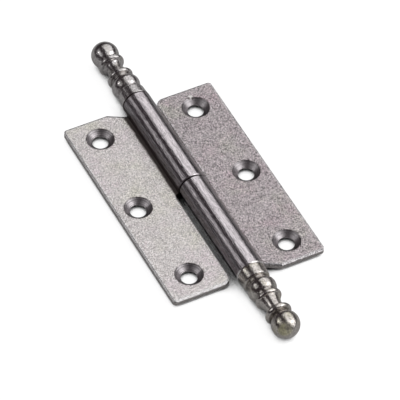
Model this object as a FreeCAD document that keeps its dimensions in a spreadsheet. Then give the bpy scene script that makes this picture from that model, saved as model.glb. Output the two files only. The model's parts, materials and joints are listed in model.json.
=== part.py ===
# Paumelle hinge: a lift-off hinge of two rolled steel leaves on one pin, with a turned finial at each end.
# The origin is on the pin's axis, midway between the two knuckles. +Y runs along the pin towards the door
# leaf's knuckle, +Z is the side that the screws enter from, and the leaves lie open at 180 degrees.

import FreeCAD, Part
import math
import os

import Sketcher
from FreeCAD import Placement, Rotation, Vector

doc = FreeCAD.newDocument("paumelle_hinge")


# Driving dimensions, in millimetres and degrees

sizes = {
    # Leaf sheet
    "leaf_length": 80.0,
    "leaf_reach": 26.4,             # from the pin's axis to the leaf's outer edge
    "leaf_depth": 1.6,              # the leaf's screw side lies this far below the pin's axis
    "sheet_thickness": 2.0,
    "free_edge_gap": 1.15,          # between a leaf's free inner edge and the other leaf's knuckle
    "outer_corner_radius": 1.2,
    "free_corner_radius": 3.0,
    "rim_rounding": 0.25,           # tumbled edge round the leaf's screw side
    # Rolled knuckle
    "knuckle_radius": 4.85,
    "knuckle_length": 40.2,
    "knuckle_gap": 0.4,             # between the two knuckles
    "knuckle_edge_break": 0.3,
    "edge_break_start": 3.0,        # degrees past the neck
    "edge_break_overrun": 1.5,      # degrees past the curl's end, in the seam
    "edge_break_overcut": 0.05,     # how far the cutter stands out of the knuckle
    "neck_bend_radius": 0.8,        # inside of the bend between the leaf and its knuckle
    "seam_gap": 0.3,                # between the end of the curl and the neck
    # Sloping notch that frees the neck at the knuckle's outer end
    "notch_reach": 11.0,            # from the pin's axis to where the slope leaves the end edge
    "notch_drop": 3.4,
    "notch_side_gap": 0.1,          # between the notch and the knuckle
    # Countersunk screw holes
    "hole_radius": 2.7,
    "countersink_radius": 4.6,
    "countersink_angle": 100.0,
    "end_hole_reach": 17.0,         # from the pin's axis
    "end_hole_margin": 8.3,         # from the leaf's end
    "middle_hole_reach": 19.1,
    # Pin
    "pin_clearance": 0.04,          # running clearance on the radius
    "pin_end_gap": 0.3,             # between the pin's ends and the spigots
    "pin_nose_length": 1.5,
    "pin_nose_taper": 0.9,
    "pin_foot_chamfer": 0.4,
    # Turned finial, from the knuckle's end towards the ball
    "spigot_length": 8.0,
    "spigot_clearance": 0.01,
    "spigot_chamfer": 0.5,
    "seat_radius": 4.15,            # low step that leaves a shadow line between knuckle and collar
    "seat_width": 0.25,
    "collar_root_radius": 4.75,
    "collar_tip_radius": 4.6,
    "collar_length": 4.35,
    "collar_edge_break": 0.12,
    "collar_tip_rounding": 0.85,
    "bulb_groove_width": 0.75,      # floor of the groove between the collar and the bulb
    "bulb_groove_depth": 1.1,       # below the bulb
    "bulb_radius": 4.8,
    "bulb_rounding": 3.2,
    "waist_groove_width": 0.95,
    "waist_groove_depth": 0.9,      # below the waist ring
    "waist_ring_radius": 4.5,
    "waist_ring_rounding": 0.85,
    "waist_step": 4.35,             # from the waist ring's middle to the narrowest place
    "waist_radius": 2.7,
    "waist_hollow": 9.0,            # radius of the long hollow from the waist ring to the narrowest place
    "neck_step": 2.25,              # from the narrowest place to the neck ring's middle
    "neck_ring_radius": 4.45,
    "neck_ring_rounding": 0.95,
    "neck_hollow": 1.1,             # radius of the short hollow under the neck ring
    "ball_groove_width": 0.45,
    "ball_groove_depth": 1.4,       # below the neck ring
    "ball_radius": 4.6,
}

sheet = doc.addObject("Spreadsheet::Sheet", "Sizes")
for row, (name, value) in enumerate(sizes.items(), start=1):
    sheet.set(f"A{row}", name)
    sheet.set(f"B{row}", str(value))
    sheet.setAlias(f"B{row}", name)
doc.recompute()


class Size:
    # A length with its value, which places the first outline, and its formula on the sheet, which holds it.

    def __init__(self, value, formula):
        self.value = value
        self.formula = formula

    def __add__(self, other):
        other = as_size(other)
        return Size(self.value + other.value, f"({self.formula} + {other.formula})")

    def __sub__(self, other):
        other = as_size(other)
        return Size(self.value - other.value, f"({self.formula} - {other.formula})")

    def __mul__(self, other):
        other = as_size(other)
        return Size(self.value * other.value, f"({self.formula} * {other.formula})")

    def __truediv__(self, other):
        other = as_size(other)
        return Size(self.value / other.value, f"({self.formula} / {other.formula})")

    def __neg__(self):
        return Size(-self.value, f"(-1 * {self.formula})")


def as_size(number):
    if isinstance(number, Size):
        return number
    return Size(float(number), str(number))


def root(size):
    return Size(math.sqrt(size.value), f"sqrt({size.formula})")


def arccosine(size):
    # In plain degrees
    return Size(math.degrees(math.acos(size.value)), f"(acos({size.formula}) / 1 deg)")


def size(name):
    return Size(sizes[name], f"Sizes.{name}")


def arc_half_width(arc_radius, height):
    # Half the chord that a circle cuts at this height over its centre
    return root(arc_radius * arc_radius - height * height)


nothing = as_size(0)


# Helpers for bodies, sketches and features

def new_body(label):
    body = doc.addObject("PartDesign::Body", label)
    body.Label = label
    return body


def new_sketch(body, role, name, offset=nothing, swing=None):
    # A sketch on one of the body's own origin planes, moved along that plane's normal or swung about its upright
    plane = next(feature for feature in body.Origin.OriginFeatures if feature.Role == role)
    sketch = body.newObject("Sketcher::SketchObject", f"{body.Name}_{name}")
    sketch.AttachmentSupport = [(plane, "")]
    sketch.MapMode = "FlatFace"
    turn = Rotation(Vector(0, 1, 0), swing.value) if swing else Rotation()
    sketch.AttachmentOffset = Placement(Vector(0, 0, offset.value), turn)
    sketch.setExpression("AttachmentOffset.Base.z", offset.formula)
    if swing:
        sketch.setExpression("AttachmentOffset.Rotation.Angle", swing.formula)
    return sketch


def dimension(sketch, constraint, formula):
    index = sketch.addConstraint(constraint)
    sketch.setExpression(f"Constraints[{index}]", formula)


def lock_point(sketch, edge, end, x, y):
    for kind, distance, zero_axis in (("DistanceX", x, -2), ("DistanceY", y, -1)):
        if abs(distance.value) < 1e-9:
            sketch.addConstraint(Sketcher.Constraint("PointOnObject", edge, end, zero_axis))
        elif distance.value > 0:
            dimension(sketch, Sketcher.Constraint(kind, -1, 1, edge, end, distance.value), distance.formula)
        else:
            back = -distance
            dimension(sketch, Sketcher.Constraint(kind, edge, end, -1, 1, back.value), back.formula)


def arc_between(start, end, radius, turn, long_way):
    # turn is +1 for an arc that runs anticlockwise and -1 for clockwise
    chord = end - start
    half = chord.Length / 2
    across = Vector(-chord.y, chord.x, 0).normalize()
    rise = math.sqrt(max(radius * radius - half * half, 0.0))
    side = turn * (-1 if long_way else 1)
    centre = (start + end) * 0.5 + across * (rise * side)
    first, last = (start, end) if turn > 0 else (end, start)
    first_angle = math.atan2(first.y - centre.y, first.x - centre.x)
    last_angle = math.atan2(last.y - centre.y, last.x - centre.x)
    return Part.ArcOfCircle(Part.Circle(centre, Vector(0, 0, 1), radius), first_angle, last_angle)


def draw_outline(sketch, corners):
    # Each corner is (x, y) and the way to the next: None for a line, or (radius, turn, long_way) for an arc
    points = [Vector(x.value, y.value, 0) for x, y, _ in corners]
    ends = []
    for number, (_, _, arc) in enumerate(corners):
        here, there = points[number], points[(number + 1) % len(points)]
        if arc is None:
            edge = sketch.addGeometry(Part.LineSegment(here, there), False)
            ends.append((edge, 1, 2))
        else:
            radius, turn, long_way = arc
            edge = sketch.addGeometry(arc_between(here, there, radius.value, turn, long_way), False)
            ends.append((edge, 1, 2) if turn > 0 else (edge, 2, 1))
    for number, (edge, _, finish) in enumerate(ends):
        next_edge, next_start, _ = ends[(number + 1) % len(ends)]
        sketch.addConstraint(Sketcher.Constraint("Coincident", edge, finish, next_edge, next_start))
    for (x, y, _), (edge, start, _) in zip(corners, ends):
        lock_point(sketch, edge, start, x, y)
    for (_, _, arc), (edge, _, _) in zip(corners, ends):
        if arc is not None:
            dimension(sketch, Sketcher.Constraint("Radius", edge, arc[0].value), arc[0].formula)


def draw_circle(sketch, radius, x, y):
    edge = sketch.addGeometry(Part.Circle(Vector(x.value, y.value, 0), Vector(0, 0, 1), radius.value), False)
    lock_point(sketch, edge, 3, x, y)
    dimension(sketch, Sketcher.Constraint("Radius", edge, radius.value), radius.formula)


def pad(body, name, sketch, length, backwards=False):
    feature = body.newObject("PartDesign::Pad", f"{body.Name}_{name}")
    feature.Profile = sketch
    feature.Length = length.value
    feature.setExpression("Length", length.formula)
    feature.Reversed = backwards
    doc.recompute()
    return feature


def cut_through(body, name, sketch):
    volume = body.Shape.Volume
    feature = body.newObject("PartDesign::Pocket", f"{body.Name}_{name}")
    feature.Profile = sketch
    feature.Type = "ThroughAll"
    feature.SideType = "Symmetric"
    doc.recompute()
    check_cut(body, feature, volume)
    return feature


def check_cut(body, feature, volume):
    if body.Shape.Volume > volume - 1e-3:
        raise RuntimeError(f"{feature.Name} cuts nothing")


def revolve(body, sketch):
    feature = body.newObject("PartDesign::Revolution", f"{body.Name}_turning")
    feature.Profile = sketch
    feature.ReferenceAxis = (sketch, ["V_Axis"])
    feature.Angle = 360
    doc.recompute()
    return feature


def cut_round(body, name, sketch, sweep):
    volume = body.Shape.Volume
    feature = body.newObject("PartDesign::Groove", f"{body.Name}_{name}")
    feature.Profile = sketch
    feature.ReferenceAxis = (sketch, ["V_Axis"])
    feature.Angle = sweep.value
    feature.setExpression("Angle", sweep.formula)
    doc.recompute()
    check_cut(body, feature, volume)
    return feature


def edges_where(shape, test):
    # The names of the edges whose two ends and middle point all pass the test
    names = []
    for number, edge in enumerate(shape.Edges, start=1):
        middle = edge.valueAt((edge.FirstParameter + edge.LastParameter) / 2)
        points = [vertex.Point for vertex in edge.Vertexes] + [middle]
        if all(test(point) for point in points):
            names.append(f"Edge{number}")
    return names


def dress(body, kind, name, edges, amount):
    base = body.Tip
    feature = body.newObject(f"PartDesign::{kind}", f"{body.Name}_{name}")
    feature.Base = (base, edges)
    field = "Radius" if kind == "Fillet" else "Size"
    setattr(feature, field, amount.value)
    feature.setExpression(field, amount.formula)
    doc.recompute()
    return feature


def near(a, b, within=1e-4):
    return abs(a - b) < within


# Sizes that follow from the driving dimensions

knuckle_radius = size("knuckle_radius")
thickness = size("sheet_thickness")
bore_radius = knuckle_radius - thickness
knuckle_start = size("knuckle_gap") / 2
knuckle_end = knuckle_start + size("knuckle_length")
free_end = knuckle_end - size("leaf_length")
leaf_middle = knuckle_end - size("leaf_length") / 2
leaf_top = -size("leaf_depth")
leaf_bottom = leaf_top - thickness
free_edge = knuckle_radius + size("free_edge_gap")

# The neck's bend is round a point beside the knuckle: its inside touches the knuckle's outer circle.
bend_radius = size("neck_bend_radius")
bend_centre_z = leaf_top + bend_radius
bend_distance = knuckle_radius + bend_radius
bend_reach = root(bend_distance * bend_distance - bend_centre_z * bend_centre_z)


# Leaves

def neck_direction():
    # Unit vector from the pin's axis to the centre of the neck's bend
    return -bend_reach / bend_distance, bend_centre_z / bend_distance


def seam_cosine():
    # Of the angle at the pin's axis from the neck to the curl's square end, whose corner clears the neck by the gap
    clear = bend_radius + thickness + size("seam_gap")
    squares = knuckle_radius * knuckle_radius + bend_distance * bend_distance - clear * clear
    return squares / (knuckle_radius * bend_distance * 2)


def curl_end_direction():
    # Unit vector from the pin's axis to the curl's square end
    cosine = seam_cosine()
    sine = root(as_size(1) - cosine * cosine)
    x, z = neck_direction()
    return x * cosine - z * sine, x * sine + z * cosine


def add_plate(body):
    sketch = new_sketch(body, "XY_Plane", "plate_outline", leaf_bottom)
    reach = size("leaf_reach")
    draw_outline(sketch, [
        (-reach, free_end, None),
        (-free_edge, free_end, None),
        (-free_edge, knuckle_start, None),
        (-bend_reach, knuckle_start, None),
        (-bend_reach, knuckle_end, None),
        (-reach, knuckle_end, None),
    ])
    pad(body, "plate", sketch, thickness)

    def at_outer_corner(p):
        return near(p.x, -reach.value) and (near(p.y, free_end.value) or near(p.y, knuckle_end.value))

    def at_free_corner(p):
        return near(p.x, -free_edge.value) and near(p.y, free_end.value)

    dress(body, "Fillet", "outer_corners", edges_where(body.Shape, at_outer_corner), size("outer_corner_radius"))
    dress(body, "Fillet", "free_corner", edges_where(body.Shape, at_free_corner), size("free_corner_radius"))


def add_knuckle(body):
    # The sheet leaves the leaf through the neck's bend and curls over the top and round under the pin.
    sketch = new_sketch(body, "XZ_Plane", "curl_outline", -knuckle_start)
    neck_x, neck_z = neck_direction()
    end_x, end_z = curl_end_direction()
    draw_outline(sketch, [
        (-bend_reach, leaf_top, (bend_radius, 1, False)),
        (neck_x * knuckle_radius, neck_z * knuckle_radius, (knuckle_radius, -1, True)),
        (end_x * knuckle_radius, end_z * knuckle_radius, None),
        (end_x * bore_radius, end_z * bore_radius, (bore_radius, 1, True)),
        (neck_x * bore_radius, neck_z * bore_radius, (bend_radius + thickness, -1, False)),
        (-bend_reach, leaf_bottom, None),
    ])
    return pad(body, "knuckle", sketch, size("knuckle_length"), backwards=True)


def add_notch(body):
    sketch = new_sketch(body, "XY_Plane", "notch_outline")
    inner = -(knuckle_radius + size("notch_side_gap"))
    draw_outline(sketch, [
        (-size("notch_reach"), knuckle_end, None),
        (inner, knuckle_end - size("notch_drop"), None),
        (inner, knuckle_end, None),
    ])
    cut_through(body, "notch", sketch)


def trim_neck(body):
    # Along the notch the neck is turned down to the knuckle's round, and the notch's slope runs on over it.
    neck_x, _ = neck_direction()
    past_neck = size("edge_break_start")
    seam = arccosine(seam_cosine())
    side_gap = size("notch_side_gap")
    slope = size("notch_drop") / (size("notch_reach") - knuckle_radius - side_gap)
    root_y = knuckle_end - size("notch_drop")
    past_end = knuckle_end + size("edge_break_overcut")
    outer = knuckle_radius + thickness
    sketch = new_sketch(body, "XY_Plane", "neck_trim_section", swing=arccosine(neck_x) - seam)
    draw_outline(sketch, [
        (knuckle_radius, root_y - slope * side_gap, None),
        (outer, root_y + slope * (thickness - side_gap), None),
        (outer, past_end, None),
        (knuckle_radius, past_end, None),
    ])
    cut_round(body, "neck_trim", sketch, seam + past_neck)


def add_screw_holes(body):
    sketch = new_sketch(body, "XY_Plane", "screw_places", leaf_top)
    hole_radius = size("hole_radius")
    end_reach = size("end_hole_reach")
    margin = size("end_hole_margin")
    draw_circle(sketch, hole_radius, -end_reach, free_end + margin)
    draw_circle(sketch, hole_radius, -size("middle_hole_reach"), leaf_middle)
    draw_circle(sketch, hole_radius, -end_reach, knuckle_end - margin)
    doc.recompute()
    volume = body.Shape.Volume
    holes = body.newObject("PartDesign::Hole", f"{body.Name}_screw_holes")
    holes.Profile = sketch
    holes.ThreadType = "None"
    holes.DepthType = "ThroughAll"
    holes.setExpression("Diameter", (hole_radius * 2).formula)
    holes.HoleCutType = "Countersink"
    holes.HoleCutCustomValues = True
    holes.setExpression("HoleCutDiameter", (size("countersink_radius") * 2).formula)
    holes.setExpression("HoleCutCountersinkAngle", size("countersink_angle").formula)
    doc.recompute()
    check_cut(body, holes, volume)


def round_leaf_rim(body):
    # The leaf's screw side is rounded along its outer, end and free edges, up to the notch.
    end_limit = -size("notch_reach").value + 1e-3

    def on_rim(p):
        if not near(p.z, leaf_top.value):
            return False
        at_outer = p.x < -(size("leaf_reach") - size("outer_corner_radius")).value + 1e-3
        at_far_end = near(p.y, knuckle_end.value) and p.x < end_limit
        at_free_end = p.y < (free_end + size("free_corner_radius")).value + 1e-3 and p.x < -free_edge.value + 1e-3
        at_free_edge = near(p.x, -free_edge.value) and p.y < knuckle_start.value + 1e-3
        return at_outer or at_far_end or at_free_end or at_free_edge

    edges = edges_where(body.Shape, on_rim)
    dress(body, "Fillet", "rim", edges, size("rim_rounding"))


def break_knuckle_edges(body):
    # A turned chamfer round each end of the knuckle, from just past the neck to just past the curl's end
    neck_x, _ = neck_direction()
    past_neck = size("edge_break_start")
    past_seam = size("edge_break_overrun")
    swing = arccosine(neck_x) + past_neck
    sweep = as_size(360) - arccosine(seam_cosine()) - past_neck + past_seam
    broken = size("knuckle_edge_break")
    overcut = size("edge_break_overcut")
    inner = knuckle_radius - broken
    outer = knuckle_radius + overcut
    depth = broken + overcut
    for name, face, inwards in (("joint_edge", knuckle_start, depth), ("outer_edge", knuckle_end, -depth)):
        sketch = new_sketch(body, "XY_Plane", f"{name}_section", swing=swing)
        draw_outline(sketch, [
            (inner, face, None),
            (outer, face, None),
            (outer, face + inwards, None),
        ])
        cut_round(body, name, sketch, sweep)


def make_leaf(label, turn):
    body = new_body(label)
    add_plate(body)
    add_knuckle(body)
    add_notch(body)
    trim_neck(body)
    add_screw_holes(body)
    round_leaf_rim(body)
    break_knuckle_edges(body)
    body.Placement = Placement(Vector(), Rotation(Vector(0, 0, 1), turn))
    return body


# Pin

def make_pin(label):
    # Turned bar with a small chamfer at its foot and a long tapered nose that finds the door leaf's knuckle
    body = new_body(label)
    sketch = new_sketch(body, "XY_Plane", "half_section")
    radius = bore_radius - size("pin_clearance")
    tip = knuckle_end - size("spigot_length") - size("pin_end_gap")
    foot = -tip
    chamfer = size("pin_foot_chamfer")
    nose = radius - size("pin_nose_taper")
    draw_outline(sketch, [
        (nothing, foot, None),
        (radius - chamfer, foot, None),
        (radius, foot + chamfer, None),
        (radius, tip - size("pin_nose_length"), None),
        (nose, tip, None),
        (nothing, tip, None),
    ])
    revolve(body, sketch)
    return body


# Finials

def ring_half_width(name, groove_radius):
    # Half a turned ring's width at the floor of the groove beside it
    rounding = size(f"{name}_rounding")
    height = groove_radius - (size(f"{name}_radius") - rounding)
    return arc_half_width(rounding, height)


def make_finial(label, turn):
    # One turned piece: spigot, collar, bulb, waist ring, hollow waist, neck ring and ball
    body = new_body(label)
    sketch = new_sketch(body, "XY_Plane", "half_section")
    spigot = bore_radius - size("spigot_clearance")
    spigot_chamfer = size("spigot_chamfer")
    spigot_end = -size("spigot_length")
    seat = size("seat_radius")
    seat_width = size("seat_width")
    collar_root = size("collar_root_radius")
    collar_tip = size("collar_tip_radius")
    collar_break = size("collar_edge_break")
    collar_rounding = size("collar_tip_rounding")
    collar_length = size("collar_length")
    bulb_groove = size("bulb_radius") - size("bulb_groove_depth")
    bulb_near = collar_length + size("bulb_groove_width")
    bulb_centre = bulb_near + ring_half_width("bulb", bulb_groove)
    waist_groove = size("waist_ring_radius") - size("waist_groove_depth")
    bulb_far = bulb_centre + ring_half_width("bulb", waist_groove)
    waist_ring_near = bulb_far + size("waist_groove_width")
    waist_ring_centre = waist_ring_near + ring_half_width("waist_ring", waist_groove)
    waist_rounding = size("waist_ring_rounding")
    waist_ring_seat = size("waist_ring_radius") - waist_rounding
    waist_centre = waist_ring_centre + size("waist_step")
    neck_ring_centre = waist_centre + size("neck_step")
    neck_rounding = size("neck_ring_rounding")
    neck_ring_seat = size("neck_ring_radius") - neck_rounding
    ball_groove = size("neck_ring_radius") - size("ball_groove_depth")
    neck_ring_far = neck_ring_centre + ring_half_width("neck_ring", ball_groove)
    ball_near = neck_ring_far + size("ball_groove_width")
    ball_radius = size("ball_radius")
    ball_tip = ball_near + arc_half_width(ball_radius, ball_groove) + ball_radius
    draw_outline(sketch, [
        (nothing, spigot_end, None),
        (spigot - spigot_chamfer, spigot_end, None),
        (spigot, spigot_end + spigot_chamfer, None),
        (spigot, nothing, None),
        (seat, nothing, None),
        (seat, seat_width, None),
        (collar_root - collar_break, seat_width, None),
        (collar_root, seat_width + collar_break, None),
        (collar_tip, collar_length - collar_rounding, (collar_rounding, 1, False)),
        (collar_tip - collar_rounding, collar_length, None),
        (bulb_groove, collar_length, None),
        (bulb_groove, bulb_near, (size("bulb_rounding"), 1, False)),
        (waist_groove, bulb_far, None),
        (waist_groove, waist_ring_near, (waist_rounding, 1, False)),
        (waist_ring_seat, waist_ring_centre + waist_rounding, (size("waist_hollow"), -1, False)),
        (size("waist_radius"), waist_centre, (size("neck_hollow"), -1, False)),
        (neck_ring_seat, neck_ring_centre - neck_rounding, (neck_rounding, 1, True)),
        (ball_groove, neck_ring_far, None),
        (ball_groove, ball_near, (ball_radius, 1, False)),
        (nothing, ball_tip, None),
    ])
    revolve(body, sketch)
    body.Placement = Placement(Vector(), Rotation(Vector(0, 0, 1), turn))
    along = knuckle_end if turn == 0 else -knuckle_end
    body.setExpression("Placement.Base.y", along.formula)
    return body


# Assembly

pieces = [
    make_leaf("door_leaf", 0),
    make_leaf("frame_leaf", 180),
    make_pin("hinge_pin"),
    make_finial("top_finial", 0),
    make_finial("bottom_finial", 180),
]
doc.recompute()


# Every feature is sound before anything is written.

for item in doc.Objects:
    if "Invalid" in item.State or "Error" in item.State:
        raise RuntimeError(f"{item.Name} failed: {item.State}")
for piece in pieces:
    shape = piece.Shape
    if shape.isNull() or not shape.isValid() or len(shape.Solids) != 1:
        raise RuntimeError(f"{piece.Label} is not one sound solid")

os.makedirs("parts", exist_ok=True)
for piece in pieces:
    piece.Shape.exportStep(f"parts/{piece.Label}.step")
    box = piece.Shape.BoundBox
    print(f"{piece.Label}: {piece.Shape.Volume:.1f} mm3, {len(piece.Shape.Faces)} faces, "
          f"x {box.XMin:.2f} to {box.XMax:.2f}, y {box.YMin:.2f} to {box.YMax:.2f}, "
          f"z {box.ZMin:.2f} to {box.ZMax:.2f}")
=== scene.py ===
import json
import math

import bpy
from mathutils import Matrix, Vector

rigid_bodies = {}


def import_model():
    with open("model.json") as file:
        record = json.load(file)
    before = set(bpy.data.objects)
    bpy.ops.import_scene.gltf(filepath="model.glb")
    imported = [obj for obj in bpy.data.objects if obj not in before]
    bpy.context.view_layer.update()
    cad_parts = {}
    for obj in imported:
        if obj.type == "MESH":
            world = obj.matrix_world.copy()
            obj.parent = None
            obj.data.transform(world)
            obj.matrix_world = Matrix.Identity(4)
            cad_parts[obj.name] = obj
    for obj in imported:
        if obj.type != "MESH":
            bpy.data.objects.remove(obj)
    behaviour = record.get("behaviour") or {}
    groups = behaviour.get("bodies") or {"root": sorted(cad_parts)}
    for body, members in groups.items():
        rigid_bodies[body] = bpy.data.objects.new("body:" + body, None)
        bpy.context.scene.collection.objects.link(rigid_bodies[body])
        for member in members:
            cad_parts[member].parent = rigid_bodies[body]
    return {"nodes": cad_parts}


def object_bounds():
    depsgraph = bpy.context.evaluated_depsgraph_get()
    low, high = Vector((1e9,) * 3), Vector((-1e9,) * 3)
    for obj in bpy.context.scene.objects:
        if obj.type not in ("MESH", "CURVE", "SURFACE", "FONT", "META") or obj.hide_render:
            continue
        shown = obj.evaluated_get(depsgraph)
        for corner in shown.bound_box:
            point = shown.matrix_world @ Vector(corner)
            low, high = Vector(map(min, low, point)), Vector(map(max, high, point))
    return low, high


for leftOver in list(bpy.data.objects):  # the start-up file's cube, lamp and camera
    bpy.data.objects.remove(leftOver)

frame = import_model()
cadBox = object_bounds()
nodes = frame["nodes"]
print("stage: frame loaded")

# Lengths are in metres. The pin lies along Y, the leaves along X, and the screws enter from +Z.


# Small helpers for node trees

def feed(tree, socket, value):  # a link from another socket, or a plain value
    if isinstance(value, bpy.types.NodeSocket):
        tree.links.new(value, socket)
    elif socket.type == "RGBA":
        socket.default_value = (*value, 1.0)
    else:
        socket.default_value = value


def addNode(tree, kind, values=None, **settings):
    node = tree.nodes.new(kind)
    for setting, value in settings.items():
        setattr(node, setting, value)
    for socket, value in (values or {}).items():
        feed(tree, node.inputs[socket], value)
    return node


def calculate(tree, operation, first, second=0.0):
    values = {0: first, 1: second}
    return addNode(tree, "ShaderNodeMath", values, operation=operation).outputs[0]


def plus(tree, first, second):
    return calculate(tree, "ADD", first, second)


def minus(tree, first, second):
    return calculate(tree, "SUBTRACT", first, second)


def times(tree, product, *factors):
    for factor in factors:
        product = calculate(tree, "MULTIPLY", product, factor)
    return product


def over(tree, first, second):
    return calculate(tree, "DIVIDE", first, second)


def larger(tree, first, second):
    return calculate(tree, "MAXIMUM", first, second)


def smaller(tree, first, second):
    return calculate(tree, "MINIMUM", first, second)


def unsigned(tree, value):
    return calculate(tree, "ABSOLUTE", value)


def weigh(tree, *parts):  # the sum of values times their weights
    total = times(tree, *parts[0])
    for part in parts[1:]:
        total = plus(tree, total, times(tree, *part))
    return total


def ramp(tree, value, low, high, outLow=0.0, outHigh=1.0):  # soft step from low to high
    values = {"Value": value, "From Min": low, "From Max": high, "To Min": outLow, "To Max": outHigh}
    step = addNode(tree, "ShaderNodeMapRange", values, interpolation_type="SMOOTHSTEP")
    return step.outputs["Result"]


def signedRamp(tree, value, span):  # soft step from -1 to 1, for tones that go lighter and darker
    return ramp(tree, value, *span, -1.0, 1.0)


def mixColour(tree, factor, first, second):
    values = {0: factor, 6: first, 7: second}
    return addNode(tree, "ShaderNodeMix", values, data_type="RGBA").outputs[2]


def mixValue(tree, factor, first, second):
    values = {0: factor, 2: first, 3: second}
    return addNode(tree, "ShaderNodeMix", values, data_type="FLOAT").outputs[0]


def combine(tree, x=0.0, y=0.0, z=0.0):
    return addNode(tree, "ShaderNodeCombineXYZ", {0: x, 1: y, 2: z}).outputs[0]


def separate(tree, vector):
    return addNode(tree, "ShaderNodeSeparateXYZ", {0: vector}).outputs


def measure(tree, operation, values):  # a length or a distance
    return addNode(tree, "ShaderNodeVectorMath", values, operation=operation).outputs["Value"]


def stretch(tree, vector, factors):
    values = {0: vector, 1: factors}
    return addNode(tree, "ShaderNodeVectorMath", values, operation="MULTIPLY").outputs[0]


def shade(tree, colour, tone):  # colour made lighter or darker by a share of itself
    values = {0: colour, "Scale": plus(tree, tone, 1.0)}
    return addNode(tree, "ShaderNodeVectorMath", values, operation="SCALE").outputs[0]


def newGroup(name, inputs, outputs):  # inputs: (name, kind, start value), outputs: names
    tree = bpy.data.node_groups.new(name, "ShaderNodeTree")
    for label, kind, value in inputs:
        socket = tree.interface.new_socket(label, in_out="INPUT", socket_type="NodeSocket" + kind)
        if value is not None:
            socket.default_value = value
    for label in outputs:
        tree.interface.new_socket(label, in_out="OUTPUT", socket_type="NodeSocketFloat")
    given = tree.nodes.new("NodeGroupInput")
    result = tree.nodes.new("NodeGroupOutput")
    return tree, given.outputs, result.inputs


def useGroup(tree, group, values):
    return addNode(tree, "ShaderNodeGroup", values, node_tree=group).outputs


def newMetal(name):
    material = bpy.data.materials.new(name)
    material.use_nodes = True
    tree = material.node_tree
    coordinate = addNode(tree, "ShaderNodeTexCoord").outputs["Object"]
    return material, tree, tree.nodes["Principled BSDF"], coordinate


def addBump(tree, metal, surface):  # surface: height in bump depths
    values = {"Height": surface, "Strength": 1.0, "Distance": effects["bumpDepth"]}
    feed(tree, metal.inputs["Normal"], addNode(tree, "ShaderNodeBump", values).outputs[0])


# Effects that more than one metal uses. A span says where a soft step begins and ends.

effects = {
    "bumpDepth": 0.0001,
    "dimpleShares": (0.7, 0.85),       # what the dimples give to the grain's height and tone
    "swellShares": (0.35, 0.15),       # what the softer swell between them gives
    "swellHeight": (0.8, 1.0, 0.5),    # the clouds' fineness against the grain's, detail and roughness
    "swellTone": (1.3, 1.0, 0.5),
    "mottle": (0.07, 3.0, 0.55),
    "swellSpan": (0.34, 0.66),
    "mottleSpan": (0.3, 0.7),
    "tarnishSpan": (0.48, 0.72),
    "toolLineSpan": (0.35, 0.65),
    "spotSpan": (1.25, 0.6),           # in radii of the spot
}


def makeTumbledGrain():  # stipple left by barrel tumbling: its height, its tone, and large clouds
    tree, given, result = newGroup(
        "tumbledGrain",
        [("Vector", "Vector", None), ("Grain Size", "Float", 0.0004), ("Stretch", "Float", 1.0),
         ("Seed", "Float", 0.0)],
        ["Height", "Tone", "Mottle"])
    place = stretch(tree, given["Vector"], combine(tree, 1.0, given["Stretch"], 1.0))
    scale = over(tree, 1.0, given["Grain Size"])
    seeded = {"Vector": place, "W": given["Seed"]}

    def cloud(name):
        fineness, detail, roughness = effects[name]
        values = dict(seeded, Scale=times(tree, scale, fineness), Detail=detail, Roughness=roughness)
        return addNode(tree, "ShaderNodeTexNoise", values, noise_dimensions="4D").outputs[0]

    values = dict(seeded, Scale=scale)
    dimples = addNode(tree, "ShaderNodeTexVoronoi", values, voronoi_dimensions="4D").outputs
    dimpleShade = addNode(tree, "ShaderNodeSeparateColor", {0: dimples["Color"]}).outputs[0]
    dimpleTone = signedRamp(tree, dimpleShade, (0.0, 1.0))
    swellTone = signedRamp(tree, cloud("swellTone"), effects["swellSpan"])
    dimpleHigh, dimpleLight = effects["dimpleShares"]
    swellHigh, swellLight = effects["swellShares"]
    height = weigh(tree, (dimples["Distance"], dimpleHigh), (cloud("swellHeight"), swellHigh))
    feed(tree, result["Height"], height)
    feed(tree, result["Tone"], weigh(tree, (dimpleTone, dimpleLight), (swellTone, swellLight)))
    feed(tree, result["Mottle"], signedRamp(tree, cloud("mottle"), effects["mottleSpan"]))
    return tree


def makeTarnish():  # large soft patches
    tree, given, result = newGroup(
        "tarnish",
        [("Vector", "Vector", None), ("Patch Size", "Float", 0.02), ("Amount", "Float", 0.5),
         ("Seed", "Float", 0.0)],
        ["Mask"])
    values = {"Vector": given["Vector"], "W": given["Seed"],
              "Scale": over(tree, 1.0, given["Patch Size"]),
              "Detail": 4.0, "Roughness": 0.6, "Distortion": 0.4}
    cloud = addNode(tree, "ShaderNodeTexNoise", values, noise_dimensions="4D").outputs[0]
    patches = ramp(tree, cloud, *effects["tarnishSpan"])
    feed(tree, result["Mask"], times(tree, patches, given["Amount"]))
    return tree


def makeToolLines():  # fine uneven lines left by a cutting tool, one after another along a line
    tree, given, result = newGroup(
        "toolLines",
        [("Place", "Float", 0.0), ("Pitch", "Float", 0.00025), ("Seed", "Float", 0.0)],
        ["Height", "Tone"])
    values = {"W": plus(tree, given["Place"], given["Seed"]),
              "Scale": over(tree, 1.0, given["Pitch"]), "Detail": 2.0, "Roughness": 0.7}
    lines = addNode(tree, "ShaderNodeTexNoise", values, noise_dimensions="1D").outputs[0]
    feed(tree, result["Height"], lines)
    feed(tree, result["Tone"], signedRamp(tree, lines, effects["toolLineSpan"]))
    return tree


def makeAxisPlace():  # distance from the pin's axis, and the place along it
    tree, given, result = newGroup("axisPlace", [("Vector", "Vector", None)], ["Radius", "Along"])
    x, y, z = separate(tree, given["Vector"])
    feed(tree, result["Radius"], measure(tree, "LENGTH", {0: combine(tree, x, 0.0, z)}))
    feed(tree, result["Along"], y)
    return tree


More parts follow.
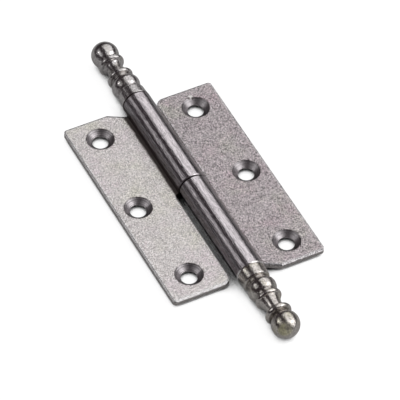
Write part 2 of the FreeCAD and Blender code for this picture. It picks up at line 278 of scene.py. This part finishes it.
def makeSpot():  # one soft round mark
    tree, given, result = newGroup(
        "spot",
        [("Vector", "Vector", None), ("Centre", "Vector", None), ("Radius", "Float", 0.001)],
        ["Mask"])
    gap = measure(tree, "DISTANCE", {0: given["Vector"], 1: given["Centre"]})
    feed(tree, result["Mask"], ramp(tree, over(tree, gap, given["Radius"]), *effects["spotSpan"]))
    return tree


tumbledGrain = makeTumbledGrain()
tarnish = makeTarnish()
toolLines = makeToolLines()
axisPlace = makeAxisPlace()
spot = makeSpot()
print("stage: shared effects built")


# Leaves: tumbled satin plate with cut sides and bored seats, and a polished knuckle

leafPlaces = {                         # of the door leaf; the frame leaf is the same, half a turn round
    "screwSide": -0.0016,
    "back": -0.0036,
    "freeEdge": -0.0264,
    "gapEdge": -0.0060,                # the inner edge, beside the other leaf's knuckle
    "ends": (-0.0396, 0.0404),
    "cornerRadius": 0.0012,
    "gapCornerRadius": 0.003,
    "notch": (-0.011, 0.0404, 0.4899, 0.8718),  # a place on its slope, and the slope's outward direction
    "softEdge": 0.0005,                # how far in from its edges tumbling has rounded the leaf
    "softDepth": 0.0011,               # and how far down its sides
    "knuckleRadius": 0.00485,
    "screwHoles": [(-0.0170, 0.0321), (-0.0191, 0.0004), (-0.0170, -0.0313)],
    "seatRadius": 0.0046,
}
leafSpans = {
    "knuckle": (0.0004, 0.0001),       # out from the knuckle's surface
    "knuckleEnd": (0.0399, 0.0401),    # along the pin
    "joinedPart": (-0.0005, -0.0001),  # along the pin, where plate and knuckle become one sheet
    "flankTop": (0.0040, 0.0014),      # height
    "flankFoot": (-0.0040, -0.0026),   # height
    "sideOfPlate": (-0.0009, -0.0012),  # up from the screw side, as the next three
    "rimOfPlate": (-0.0012, -0.0009),
    "topOfPlate": (-0.0006, -0.0003),
    "seatTop": (-0.00002, -0.00006),
    "aboveBack": (0.00004, 0.0001),    # up from the back
    "roundedSide": (0.0004, 0.0002),   # in from the outline, as the next two
    "wornAndLitWide": (0.0022, 0.0004),
    "wornAndLitNarrow": (0.0008, 0.0001),
    "seat": (0.00006, -0.00002),       # out from the countersink's edge, as the next two
    "seatLip": (-0.0004, -0.0001),
    "seatOutline": (0.00026, 0.0001),
    "neckRadius": (0.0067, 0.0056),    # from the pin's axis
    "neckHeight": (0.0017, -0.0004),
    "neckSide": (-0.0022, -0.0040),    # along X, as the next one
    "innerEdge": (-0.0064, -0.0061),
}
leafShares = {
    "wornAndLitWide": 0.3,
    "wornAndLitNarrow": 0.7,
    "innerEdge": 0.5,                  # painted shadow along the inner edge, beside the other leaf's knuckle
}


def leafSpan(name, start=0.0):
    return [start + edge for edge in leafSpans[name]]


def makeLeafZones():  # masks for the leaf's finishes and for its painted shade, from a place on the door leaf
    tree, given, result = newGroup(
        "leafZones",
        [("Vector", "Vector", None)],
        ["Knuckle", "Cut Side", "Rounding", "Seat", "Seat Lip", "Seat Outline", "Neck", "Flank", "Worn Edge And Highlight"])
    x, y, height = separate(tree, given["Vector"])
    radius = useGroup(tree, axisPlace, {"Vector": given["Vector"]})["Radius"]
    knuckle = ramp(tree, radius, *leafSpan("knuckle", leafPlaces["knuckleRadius"]))
    onPlate = minus(tree, 1.0, knuckle)
    feed(tree, result["Knuckle"], knuckle)
    # Flank: where painted shade darkens the knuckle low on both sides
    flank = times(tree, ramp(tree, height, *leafSpan("flankTop")), ramp(tree, height, *leafSpan("flankFoot")))
    feed(tree, result["Flank"], times(tree, knuckle, flank))

    top = leafPlaces["screwSide"]
    aboveBack = ramp(tree, height, *leafSpan("aboveBack", leafPlaces["back"]))
    side = ramp(tree, height, *leafSpan("sideOfPlate", top))
    feed(tree, result["Cut Side"], times(tree, side, aboveBack, onPlate))

    # How far a place lies inside the leaf's outline
    def insideCorner(first, second, corner):
        short = [larger(tree, minus(tree, corner, edge), 0.0) for edge in (first, second)]
        return minus(tree, corner, measure(tree, "LENGTH", {0: combine(tree, *short)}))

    fromFree = minus(tree, x, leafPlaces["freeEdge"])
    fromNear = minus(tree, y, leafPlaces["ends"][0])
    fromFar = minus(tree, leafPlaces["ends"][1], y)
    joined = ramp(tree, y, *leafSpan("joinedPart"))  # there the plate has no inner edge
    fromGap = plus(tree, minus(tree, leafPlaces["gapEdge"], x), joined)
    notchX, notchY, outX, outY = leafPlaces["notch"]
    past = weigh(tree, (minus(tree, x, notchX), outX), (minus(tree, y, notchY), outY))
    inside = insideCorner(fromFree, fromFar, leafPlaces["cornerRadius"])
    inside = smaller(tree, inside, times(tree, past, -1.0))
    inside = smaller(tree, inside, insideCorner(fromFree, fromNear, leafPlaces["cornerRadius"]))
    inside = smaller(tree, inside, insideCorner(fromNear, fromGap, leafPlaces["gapCornerRadius"]))

    # How much the tumbled edge falls away, over the top and down the side, and its shine, partly wear and
    # partly a painted highlight
    def fall(depth):
        into = larger(tree, depth, 0.0)
        return over(tree, times(tree, into, into), 2.0 * leafPlaces["softEdge"])

    depth = leafPlaces["softDepth"]
    topFall = fall(minus(tree, leafPlaces["softEdge"], inside))
    sideFall = minus(tree, fall(minus(tree, height, top - depth)), fall(depth))  # nothing on the flat
    sideFall = times(tree, sideFall, ramp(tree, inside, *leafSpan("roundedSide")))
    feed(tree, result["Rounding"], times(tree, plus(tree, topFall, sideFall), onPlate))
    wornAndHighlight = plus(tree, *(ramp(tree, inside, *leafSpan(name), 0.0, leafShares[name])
                        for name in ("wornAndLitWide", "wornAndLitNarrow")))
    rim = ramp(tree, height, *leafSpan("rimOfPlate", top))
    feed(tree, result["Worn Edge And Highlight"], times(tree, wornAndHighlight, rim, onPlate))

    # Screw seats, with painted shade along their edges
    flat = stretch(tree, given["Vector"], (1.0, 1.0, 0.0))
    nearest = 1.0
    for hole in leafPlaces["screwHoles"]:
        nearest = smaller(tree, measure(tree, "DISTANCE", {0: flat, 1: (*hole, 0.0)}), nearest)
    edge = leafPlaces["seatRadius"]
    seat = times(tree, ramp(tree, nearest, *leafSpan("seat", edge)),
                 ramp(tree, height, *leafSpan("seatTop", top)), aboveBack)
    feed(tree, result["Seat"], seat)
    feed(tree, result["Seat Lip"], times(tree, ramp(tree, nearest, *leafSpan("seatLip", edge)), seat))
    outline = ramp(tree, nearest, *leafSpan("seatOutline", edge))
    onTop = ramp(tree, height, *leafSpan("topOfPlate", top))
    feed(tree, result["Seat Outline"], times(tree, outline, onTop))

    # Neck and inner edge: painted shade in the crevice where plate and knuckle meet, and a painted shadow
    # along the inner edge
    neck = times(tree, ramp(tree, radius, *leafSpan("neckRadius")),
                 ramp(tree, height, *leafSpan("neckHeight")), ramp(tree, x, *leafSpan("neckSide")))
    innerEdge = ramp(tree, x, *leafSpan("innerEdge"), 0.0, leafShares["innerEdge"])
    feed(tree, result["Neck"], larger(tree, neck, times(tree, innerEdge, onPlate)))
    return tree


leafZones = makeLeafZones()
doorLeafLook = {
    "turn": 0.0,                       # the pattern's turn about Z, in degrees
    "seed": 1.7,
    "plate": (0.655, 0.612, 0.60),
    "stain": (0.625, 0.61, 0.52),      # yellowish patches in the plating
    "stainAmount": 0.85,
    "stainSize": 0.015,
    "blush": (0.665, 0.575, 0.605),    # pinkish patches
    "blushAmount": 0.85,
    "blushSize": 0.007,
    "blushSeedStep": 9.0,              # from the leaf's seed, so that patterns differ
    "plateMottle": 0.02,
    "plateRoughness": 0.33,
    "grainSize": 0.00019,
    "grainTone": 0.6,                  # how much lighter or darker a grain is than the plate
    "grainBump": 0.3,
    "wornEdgeAndHighlight": (0.88, 0.86, 0.85),    # tumbling has polished the rims, and they are made lighter still as a painted highlight
    "cutSide": (0.50, 0.47, 0.46),
    "cutSideTone": 0.3,
    "cutSideDullness": 0.6,            # as a share of the seats' roughness
    "seat": (0.42, 0.395, 0.405),
    "seatRoughness": 0.37,
    "seatTones": (0.3, 0.25),          # of the cutter's rings and of the grain
    "seatBumps": (0.22, 0.15),
    "seatLip": 0.4,                    # painted shade: darker just inside and just outside the seat's edge
    "seatOutline": 0.4,
    "ringPitch": 0.0003,
    "knuckle": (0.63, 0.59, 0.61),
    "knuckleRoughness": 0.2,
    "knuckleTones": (0.2, 0.22),       # of the polishing streaks and of the grain
    "knuckleBumps": (0.4, 0.12),
    "streakSize": 0.00028,
    "streakStretch": 0.1,
    "streakSeedStep": 3.0,
    "flankShade": 0.52,                # painted shade: the knuckle is darker low on both sides
    "rightShade": 0.4,                 # and painted shade all over the side that faces +X
    "rightSpan": (0.0017, 0.0025),
    "unevenness": (0.04, 0.05),        # of the plate's and of the knuckle's roughness
    # dark colour for painted shade at the neck, the inner edge and the finial joint, and for the dark of the
    # knuckles' joint and of dents
    "grimeAndShade": (0.085, 0.066, 0.062),
    "shadeSpan": (0.15, 0.8),
    "shadeAmount": 0.93,
    "shadeMottle": 0.12,
    "grimeAndShadeRoughness": 0.5,
    "jointGrime": (0.00030, 0.00022),  # along the pin, where the dark of the knuckles' joint ends
    "endShade": 1.0,                   # painted shade at the joint with the finial
    "endHighlight": 0.0,                   # or a painted highlight on the rim there
    "rimHighlight": (1.0, 0.98, 0.96),
    "dents": [],                       # damage beside a screw hole: dark dents and bright scuffs,
    "scuffs": [],                      # each with its place and radius
    "scuff": (0.92, 0.90, 0.88),
    "markAmount": 0.8,
}
# The frame leaf: the same plating as the door leaf, painted darker all over as shade, with a painted
# highlight on its knuckle's end rim
frameLeafLook = dict(
    doorLeafLook, turn=180.0, seed=6.3, plate=(0.45, 0.402, 0.413), stain=(0.445, 0.435, 0.385),
    blush=(0.49, 0.385, 0.42), plateRoughness=0.36, grainTone=1.0, grainBump=0.38,
    wornEdgeAndHighlight=(0.66, 0.63, 0.64), jointGrime=(0.0006, 0.00045), endShade=0.0, endHighlight=0.8,
    dents=[(-0.01684, -0.03599, 0.0004), (-0.01798, -0.03556, 0.00038)],
    scuffs=[(-0.01762, -0.03623, 0.0008), (-0.0152, -0.0070, 0.00035)])


def makeLeafMetal(name, look):
    material, tree, metal, coordinate = newMetal(name)
    metal.inputs["Metallic"].default_value = 1.0
    values = {"Vector": coordinate, "Rotation": (0.0, 0.0, math.radians(look["turn"]))}
    vector = addNode(tree, "ShaderNodeMapping", values).outputs[0]
    right = separate(tree, coordinate)[0]
    _, along, height = separate(tree, vector)
    zone = useGroup(tree, leafZones, {"Vector": vector})

    def pattern(group, values, seedStep=0.0):
        return useGroup(tree, group, dict(values, Vector=vector, Seed=look["seed"] + seedStep))

    grain = pattern(tumbledGrain, {"Grain Size": look["grainSize"]})
    values = {"Grain Size": look["streakSize"], "Stretch": look["streakStretch"]}
    streaks = pattern(tumbledGrain, values, look["streakSeedStep"])
    values = {"Patch Size": look["stainSize"], "Amount": look["stainAmount"]}
    stain = pattern(tarnish, values)["Mask"]
    values = {"Patch Size": look["blushSize"], "Amount": look["blushAmount"]}
    blush = pattern(tarnish, values, look["blushSeedStep"])["Mask"]
    values = {"Place": height, "Pitch": look["ringPitch"], "Seed": look["seed"]}
    rings = useGroup(tree, toolLines, values)

    # Painted shade at the neck, the inner edge and the joint with the finial, and the dark of the knuckles'
    # joint
    neck = plus(tree, zone["Neck"], times(tree, grain["Mottle"], look["shadeMottle"]))
    grimeAndShade = ramp(tree, neck, *look["shadeSpan"], 0.0, look["shadeAmount"])
    joint = times(tree, ramp(tree, along, *look["jointGrime"]), zone["Knuckle"])
    end = times(tree, ramp(tree, along, *leafSpan("knuckleEnd")), zone["Knuckle"])
    grimeAndShade = larger(tree, grimeAndShade, larger(tree, joint, times(tree, end, look["endShade"])))

    # Colour
    plate = mixColour(tree, blush, look["plate"], look["blush"])
    plate = mixColour(tree, stain, plate, look["stain"])
    # worn rims, lighter partly from wear and partly as a painted highlight
    plate = mixColour(tree, zone["Worn Edge And Highlight"], plate, look["wornEdgeAndHighlight"])
    tone = weigh(tree, (grain["Tone"], look["grainTone"]), (grain["Mottle"], look["plateMottle"]))
    # painted shade round the seats' outline on the plate
    tone = minus(tree, tone, times(tree, zone["Seat Outline"], look["seatOutline"]))
    plate = shade(tree, plate, tone)
    side = shade(tree, look["cutSide"], times(tree, grain["Tone"], look["cutSideTone"]))
    ringTone, grainTone = look["seatTones"]
    tone = weigh(tree, (rings["Tone"], ringTone), (grain["Tone"], grainTone))
    # painted shade in the seat's lip
    tone = minus(tree, tone, times(tree, zone["Seat Lip"], look["seatLip"]))
    seat = shade(tree, look["seat"], tone)
    streakTone, grainTone = look["knuckleTones"]
    tone = weigh(tree, (streaks["Tone"], streakTone), (grain["Tone"], grainTone))
    # Painted shade on the knuckle: darker low on both flanks and on the side facing +X
    rightShade = ramp(tree, right, *look["rightSpan"], 0.0, look["rightShade"])
    paintedShade = larger(tree, times(tree, zone["Flank"], look["flankShade"]), rightShade)
    knuckle = shade(tree, look["knuckle"], minus(tree, tone, paintedShade))
    colour = mixColour(tree, zone["Cut Side"], plate, side)
    colour = mixColour(tree, zone["Seat"], colour, seat)
    colour = mixColour(tree, zone["Knuckle"], colour, knuckle)
    # painted highlight on the knuckle's end rim
    colour = mixColour(tree, times(tree, end, look["endHighlight"]), colour, look["rimHighlight"])
    flat = stretch(tree, vector, (1.0, 1.0, 0.0))
    for marks, paint in ((look["scuffs"], look["scuff"]), (look["dents"], look["grimeAndShade"])):
        for x, y, radius in marks:
            values = {"Vector": flat, "Centre": (x, y, 0.0), "Radius": radius}
            mark = times(tree, useGroup(tree, spot, values)["Mask"], look["markAmount"])
            colour = mixColour(tree, mark, colour, paint)
    feed(tree, metal.inputs["Base Color"], mixColour(tree, grimeAndShade, colour, look["grimeAndShade"]))

    # Roughness
    plateUneven, knuckleUneven = look["unevenness"]
    rough = plus(tree, times(tree, grain["Mottle"], plateUneven), look["plateRoughness"])
    dullCuts = larger(tree, zone["Seat"], times(tree, zone["Cut Side"], look["cutSideDullness"]))
    rough = mixValue(tree, dullCuts, rough, look["seatRoughness"])
    knuckleRough = plus(tree, times(tree, streaks["Mottle"], knuckleUneven), look["knuckleRoughness"])
    rough = mixValue(tree, zone["Knuckle"], rough, knuckleRough)
    feed(tree, metal.inputs["Roughness"], mixValue(tree, grimeAndShade, rough, look["grimeAndShadeRoughness"]))

    # Bump
    plateHeight = times(tree, grain["Height"], look["grainBump"])
    ringBump, grainBump = look["seatBumps"]
    seatHeight = weigh(tree, (rings["Height"], ringBump), (grain["Height"], grainBump))
    streakBump, grainBump = look["knuckleBumps"]
    knuckleHeight = weigh(tree, (streaks["Height"], streakBump), (grain["Height"], grainBump))
    surface = mixValue(tree, zone["Seat"], plateHeight, seatHeight)
    surface = mixValue(tree, zone["Knuckle"], surface, knuckleHeight)
    addBump(tree, metal, minus(tree, surface, over(tree, zone["Rounding"], effects["bumpDepth"])))
    return material


# Finials and pin: turned and polished

finialPlaces = {
    "grooves": [                       # distance from the joint between the knuckles, half width, painted shade
        (0.04045, 0.0003, 1.0),
        (0.04515, 0.0004, 0.3),
        (0.0507, 0.0005, 0.35),
        (0.05985, 0.0003, 0.4),
    ],
    "grooveFade": 0.0003,
    "grooveRadius": (0.0043, 0.0037),  # painted shade falls where the finial is this thin
}


def makeGrooveShade():  # painted shade in the finials' narrow grooves, darkest at their joint with the knuckle
    tree, given, result = newGroup(
        "grooveShade", [("Vector", "Vector", None), ("Amount", "Float", 0.6)], ["Mask"])
    place = useGroup(tree, axisPlace, {"Vector": given["Vector"]})
    out = unsigned(tree, place["Along"])
    grooveShadeMask = 0.0
    for middle, half, amount in finialPlaces["grooves"]:
        gap = unsigned(tree, minus(tree, out, middle))
        groove = ramp(tree, gap, half + finialPlaces["grooveFade"], half, 0.0, amount)
        grooveShadeMask = larger(tree, grooveShadeMask, groove)
    deep = ramp(tree, place["Radius"], *finialPlaces["grooveRadius"])
    feed(tree, result["Mask"], times(tree, grooveShadeMask, deep, given["Amount"]))
    return tree


grooveShade = makeGrooveShade()
finialLook = {
    "seed": 2.2,
    "bright": (0.62, 0.597, 0.592),
    "roughness": 0.2,
    "unevenness": 0.05,
    "stain": (0.50, 0.47, 0.30),
    "stainAmount": 0.2,
    "stainSize": 0.006,
    # dark colour of the painted shade in the grooves
    "grimeAndShade": (0.10, 0.082, 0.074),
    "shadeAmount": 0.85,
    "shadeSpan": (-1.0, 0.2),          # clouds of the grain that leave the least painted shade, and all of it
    "shadeLeast": 0.5,
    "grimeAndShadeRoughness": 0.36,
    "linePitch": 0.0003,
    "lineTone": 0.05,
    "lineBump": 0.1,
    "grainSize": 0.00036,
    "grainTone": 0.26,
    "grainBump": 0.45,
    "patch": (0.80, 0.77, 0.50),       # an olive stain on the ball
    "patchPlace": (-0.0022, -0.0670, 0.0020),
    "patchRadius": 0.0024,
    "patchAmount": 0.0,
    "patchSpan": (-1.0, 0.4),          # clouds of the grain that leave the least stain, and all of it
    "patchLeast": 0.4,
    "patchFilm": 0.8,                  # how far the stain hides the metal, as a dull film
}
lowerFinialLook = dict(finialLook, seed=8.1, bright=(0.65, 0.615, 0.58), stainAmount=0.5,
                       patchAmount=0.9)
pinLook = dict(finialLook, seed=4.4, bright=(0.45, 0.44, 0.45), stainAmount=0.0, shadeAmount=0.0,
               roughness=0.28)


def makeTurnedMetal(name, look):
    material, tree, metal, vector = newMetal(name)
    place = useGroup(tree, axisPlace, {"Vector": vector})
    values = {"Place": place["Along"], "Pitch": look["linePitch"], "Seed": look["seed"]}
    lines = useGroup(tree, toolLines, values)
    values = {"Vector": vector, "Grain Size": look["grainSize"], "Seed": look["seed"]}
    grain = useGroup(tree, tumbledGrain, values)
    values = {"Vector": vector, "Patch Size": look["stainSize"], "Amount": look["stainAmount"],
              "Seed": look["seed"]}
    stain = useGroup(tree, tarnish, values)["Mask"]
    # painted shade in the grooves
    values = {"Vector": vector, "Amount": look["shadeAmount"]}
    grooveShadeMask = useGroup(tree, grooveShade, values)["Mask"]
    grimeAndShade = times(tree, grooveShadeMask, ramp(tree, grain["Mottle"], *look["shadeSpan"], look["shadeLeast"], 1.0))
    values = {"Vector": vector, "Centre": look["patchPlace"], "Radius": look["patchRadius"]}
    patch = useGroup(tree, spot, values)["Mask"]
    amounts = (look["patchLeast"] * look["patchAmount"], look["patchAmount"])
    patch = times(tree, patch, ramp(tree, grain["Mottle"], *look["patchSpan"], *amounts))

    colour = mixColour(tree, stain, look["bright"], look["stain"])
    colour = mixColour(tree, patch, colour, look["patch"])
    tone = weigh(tree, (grain["Tone"], look["grainTone"]), (lines["Tone"], look["lineTone"]))
    colour = shade(tree, colour, tone)
    feed(tree, metal.inputs["Base Color"], mixColour(tree, grimeAndShade, colour, look["grimeAndShade"]))
    film = times(tree, patch, look["patchFilm"])
    feed(tree, metal.inputs["Metallic"], minus(tree, 1.0, film))

    rough = plus(tree, times(tree, grain["Mottle"], look["unevenness"]), look["roughness"])
    rough = mixValue(tree, larger(tree, grimeAndShade, patch), rough, look["grimeAndShadeRoughness"])
    feed(tree, metal.inputs["Roughness"], rough)
    addBump(tree, metal, weigh(tree, (lines["Height"], look["lineBump"]),
                               (grain["Height"], look["grainBump"])))
    return material


def dress(node, material):
    for slot in nodes[node].material_slots:
        slot.material = material


dress("door_leaf", makeLeafMetal("doorLeafSteel", doorLeafLook))
dress("frame_leaf", makeLeafMetal("frameLeafSteel", frameLeafLook))
dress("top_finial", makeTurnedMetal("topFinialNickel", finialLook))
dress("bottom_finial", makeTurnedMetal("bottomFinialNickel", lowerFinialLook))
dress("hinge_pin", makeTurnedMetal("pinSteel", pinLook))
print("stage: metals on the pieces")


# Studio: pale floor, soft lamps, a dim warm room

studio = {
    "floorHalf": 3.0,
    "floorDrop": 0.00002,              # the floor lies just under the object
    "floorGrey": 0.31,
    "floorWhite": 0.92,                # light of its own that the camera sees, so that it renders white
    "floorInMetal": 0.18,              # share of that light that the metal shows
    "contactReach": 0.008,             # how far round the object the floor loses that light, as a painted contact shadow
    "contactSpan": (0.33, 0.42),       # openness of the floor where that light begins and is full
    "slotSpan": (0.2, 0.45),           # and where its own grey goes from dark to full, a painted shadow under the object and in the slot beside the knuckle
    "slotGrey": 0.05,
    "room": (0.044, 0.036, 0.040),
}


def makeFloor():
    mesh = bpy.data.meshes.new("floor")
    half = studio["floorHalf"]
    low = cadBox[0].z - studio["floorDrop"]
    corners = [(x, y, low) for x, y in ((-half, -half), (half, -half), (half, half), (-half, half))]
    mesh.from_pydata(corners, [], [(0, 1, 2, 3)])
    floor = bpy.data.objects.new("floor", mesh)
    bpy.context.scene.collection.objects.link(floor)
    material = bpy.data.materials.new("paleFloor")
    material.use_nodes = True
    tree = material.node_tree
    tree.nodes.remove(tree.nodes["Principled BSDF"])
    path = addNode(tree, "ShaderNodeLightPath").outputs
    inMetal = times(tree, path["Is Glossy Ray"], studio["floorInMetal"])
    seen = plus(tree, plus(tree, path["Is Camera Ray"], inMetal), path["Is Transmission Ray"])
    # Painted contact shadow: the floor's glow and grey fade where the object hems it in
    values = {"Distance": studio["contactReach"]}
    openness = addNode(tree, "ShaderNodeAmbientOcclusion", values, samples=8).outputs["AO"]
    seen = times(tree, seen, ramp(tree, openness, *studio["contactSpan"]), studio["floorWhite"])
    grey = ramp(tree, openness, *studio["slotSpan"], studio["slotGrey"], studio["floorGrey"])
    diffuse = addNode(tree, "ShaderNodeBsdfDiffuse", {"Color": grey}).outputs[0]
    glow = addNode(tree, "ShaderNodeEmission", {"Strength": seen}).outputs[0]
    both = addNode(tree, "ShaderNodeAddShader", {0: diffuse, 1: glow}).outputs[0]
    feed(tree, tree.nodes["Material Output"].inputs["Surface"], both)
    mesh.materials.append(material)


def lightRoom():
    world = bpy.data.worlds.new("room")
    bpy.context.scene.world = world
    world.use_nodes = True
    tree = world.node_tree
    path = addNode(tree, "ShaderNodeLightPath").outputs
    seen = plus(tree, path["Is Camera Ray"], path["Is Transmission Ray"])
    colour = mixColour(tree, seen, studio["room"], (1.0, 1.0, 1.0))
    feed(tree, tree.nodes["Background"].inputs["Color"], colour)


# Each lamp hangs where its reflection lies in the photo: its turn about the pin, from +X over +Z,
# and its lean along the pin. A square lamp hangs level with the pin.
softLamps = {
    "mainPanel": {"turn": 58.5, "lean": 0.14, "distance": 1.0, "square": True,
                  "width": 1.23, "length": 2.1, "brightness": 0.95},
    "leftStrip": {"turn": 138.0, "lean": 0.24, "distance": 1.0, "square": True,
                  "width": 0.34, "length": 1.2, "brightness": 0.62},
    "leftCore": {"turn": 145.0, "lean": 0.30, "distance": 1.2, "square": False,
                 "width": 0.18, "length": 0.30, "brightness": 2.6},
    "frontFill": {"turn": 38.0, "lean": -0.56, "distance": 1.4, "square": False,
                  "width": 1.0, "length": 1.0, "brightness": 1.4},
}


def hangLamps():
    alongPin = Vector((0.0, 1.0, 0.0))
    for name, lamp in softLamps.items():
        light = bpy.data.lights.new(name, "AREA")
        light.shape = "RECTANGLE"
        light.size = lamp["width"]
        light.size_y = lamp["length"]
        light.energy = lamp["brightness"] * math.pi * lamp["width"] * lamp["length"]
        turn = math.radians(lamp["turn"])
        out = Vector((math.cos(turn), 0.0, math.sin(turn)))
        lean = lamp["lean"]
        if lamp["square"]:
            place, back = out * lamp["distance"] + alongPin * lean, out
        else:
            back = out * math.sqrt(1.0 - lean * lean) + alongPin * lean
            place = back * lamp["distance"]
        side = alongPin.cross(back).normalized()
        up = back.cross(side)
        hung = bpy.data.objects.new(name, light)
        turned = Matrix((side, up, back)).transposed().to_4x4()
        hung.matrix_world = Matrix.Translation(place) @ turned
        hung.visible_camera = False
        bpy.context.scene.collection.objects.link(hung)


makeFloor()
lightRoom()
hangLamps()
print("stage: studio lit")


# Camera, fitted to the photo's leaf edges, screw holes and barrel

shot = {
    "place": (-0.39034, -0.72204, 0.91550),
    "azimuth": -28.572,
    "elevation": 48.329,
    "roll": 2.218,
    "lens": 347.8,
    "sensorWidth": 36.0,
    "clip": (0.05, 20.0),
}


def placeCamera():
    azimuth, elevation, roll = (math.radians(shot[key]) for key in ("azimuth", "elevation", "roll"))
    level = Vector((math.cos(azimuth), math.sin(azimuth), 0.0))
    back = Vector((math.sin(azimuth) * math.cos(elevation), -math.cos(azimuth) * math.cos(elevation),
                   math.sin(elevation)))
    rise = back.cross(level)
    right = level * math.cos(roll) + rise * math.sin(roll)
    up = back.cross(right)
    data = bpy.data.cameras.new("photoCamera")
    data.lens = shot["lens"]
    data.sensor_width = shot["sensorWidth"]
    data.clip_start, data.clip_end = shot["clip"]
    camera = bpy.data.objects.new("photoCamera", data)
    turned = Matrix((right, up, back)).transposed().to_4x4()
    camera.matrix_world = Matrix.Translation(shot["place"]) @ turned
    bpy.context.scene.collection.objects.link(camera)
    bpy.context.scene.camera = camera


placeCamera()
bpy.context.scene.view_settings.view_transform = "Standard"
print("stage: camera placed")
